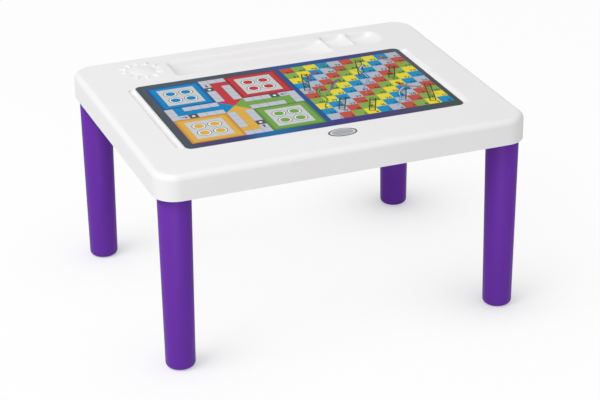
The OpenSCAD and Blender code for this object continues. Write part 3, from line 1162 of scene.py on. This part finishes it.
def digit_faces(digit):
    """The triangles of one digit, from its lower left corner, and how far the next one is."""
    text = bpy.data.curves.new("digit", "FONT")
    text.body = digit
    text.size = digit_height / digit_share
    text.offset = digit_bold
    text.resolution_u = 2
    holder = add_object("digit", text)
    mesh = evaluated_mesh(holder)
    advance = max(v.co.x for v in mesh.vertices) + digit_gap
    bpy.data.objects.remove(holder)
    return face_outlines(mesh), advance


digits = {digit: digit_faces(digit) for digit in "0123456789"}


def stamp_number(number):
    """Prints a number at the lower right of its square, upright for who sits in front."""
    width = sum(digits[d][1] for d in str(number))
    x, y = cell_place(number, digit_corner, digit_corner)
    x -= width
    for d in str(number):
        faces, advance = digits[d]
        stamp("dark", *[[(x + px, y - py) for px, py in face] for face in faces])
        x += advance


for number in range(1, 101):
    stamp_number(number)
print(len(prints), "printed shapes in all")

# %% [markdown]
# ## Cutting the print into one sheet
# A constrained Delaunay triangulation lays all outlines over each other and cuts the plane into
# small faces along them. A face takes the ink that was printed last over its middle. The sheet then
# gets its thickness from the edge down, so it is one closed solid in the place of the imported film.

# %% Which ink lies at a point
# Each outline is filed under the patches that its box touches, so few of them are tried per point.
patch = 6.0
filed = {}
for index, (_, outline) in enumerate(prints):
    columns, rows = [[int(v // patch) for v in line] for line in zip(*outline)]
    for column in range(min(columns), max(columns) + 1):
        for row in range(min(rows), max(rows) + 1):
            filed.setdefault((column, row), []).append(index)


def holds(outline, x, y):
    """True inside an outline, where a line to the right crosses it an odd number of times."""
    inside = False
    for (ax, ay), (bx, by) in zip(outline, outline[1:] + outline[:1]):
        if (ay > y) != (by > y) and x < ax + (bx - ax) * (y - ay) / (by - ay):
            inside = not inside
    return inside


def ink_at(x, y):
    """The ink printed last at a point, or None off the film."""
    for index in reversed(filed.get((int(x // patch), int(y // patch)), [])):
        if holds(prints[index][1], x, y):
            return prints[index][0]
    return None


# %% One flat mesh from all shapes
def film_point(x, y):
    """A point of the film's plan as a place on the table."""
    return (sheet_low.x + x * MM, sheet_high.y - y * MM, sheet_high.z)


join_within = 0.002
corners = []
lines = []
for _, outline in prints:
    first = len(corners)
    count = len(outline)
    lines += [(first + i, first + (i + 1) % count) for i in range(count)]
    corners += [Vector(point) for point in outline]
cut_corners, _, cut_faces, _, _, _ = geometry.delaunay_2d_cdt(corners, lines, [], 0, join_within)

sheet_shape = bmesh.new()
ink_layer = sheet_shape.loops.layers.float_color.new("ink")
points = [sheet_shape.verts.new(film_point(*corner)) for corner in cut_corners]
for face in cut_faces:
    ink_name = ink_at(*(sum((cut_corners[i] for i in face), Vector((0, 0))) / len(face)))
    if ink_name:
        new = sheet_shape.faces.new([points[i] for i in reversed(face)])
        for loop in new.loops:
            loop[ink_layer] = inks[ink_name]
print(len(corners), "outline points give", len(sheet_shape.faces), "faces")

# %% Thickness of the film
# The film's edge and back are bare. They are the faces that don't look up.
bare_film = paint(228, 228, 228)
rim = [edge for edge in sheet_shape.edges if edge.is_boundary]
walls = bmesh.ops.extrude_edge_only(sheet_shape, edges=rim)
for part in walls["geom"]:
    if isinstance(part, bmesh.types.BMVert):
        part.co.z = sheet_low.z
under = [edge for edge in sheet_shape.edges if edge.is_boundary]
bmesh.ops.holes_fill(sheet_shape, edges=under)
bmesh.ops.recalc_face_normals(sheet_shape, faces=sheet_shape.faces)
for face in sheet_shape.faces:
    if face.normal.z < slope_rise:
        for loop in face.loops:
            loop[ink_layer] = bare_film
printed_sheet = piece_from(sheet_shape, "printed_sheet", film_gloss)
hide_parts("game_sheet")
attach(printed_sheet, "board")

# %% Board under the film
# Only the board's edge and underside ever show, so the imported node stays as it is.
finish_node("game_board", board_plastic)

# %% [markdown]
# ## Badge
# The small oval on the front border is left blank. It is a silver grey plate with a dark raised rim
# and a lighter band inside it, all one moulding. An oval's own formula finds them: it gives 1 at the
# plate's edge and less towards its middle.

# %% Badge finish
badge_low, badge_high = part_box("badge")
badge_half = (badge_high - badge_low) / 2
badge_middle = (badge_high + badge_low) / 2
band_inner = 0.74
rim_inner = 0.89

plate = Recipe("badge_plate")
plate_place = plate.node("ShaderNodeSeparateXYZ", {}, {0: plate.place}, "X")
to_side = (plate_place - badge_middle.x) * (1 / badge_half.x)
to_front = (plate_place.output("Y") - badge_middle.y) * (1 / badge_half.y)
reach = to_side * to_side + to_front * to_front
is_band = reach > band_inner**2
is_rim_mark = reach > rim_inner**2
brushed = plate.noise(0.0006, 2.0, (0.05, 1.0, 1.0))
plate_field = plate.mix(brushed, paint(146, 149, 152), paint(170, 173, 176))
plate_band = plate.mix(brushed, paint(200, 202, 204), paint(216, 218, 220))
inside_rim = plate.mix(is_band, plate_field, plate_band)
badge_plastic = plate.plastic(
    Base_Color=plate.mix(is_rim_mark, inside_rim, paint(48, 50, 55)),
    Roughness=0.32 + 0.12 * brushed,
    Metallic=0.3 - 0.3 * is_rim_mark,
    Normal=plate.relief(brushed, 0.01 * MM),
)
finish_node("badge", badge_plastic)
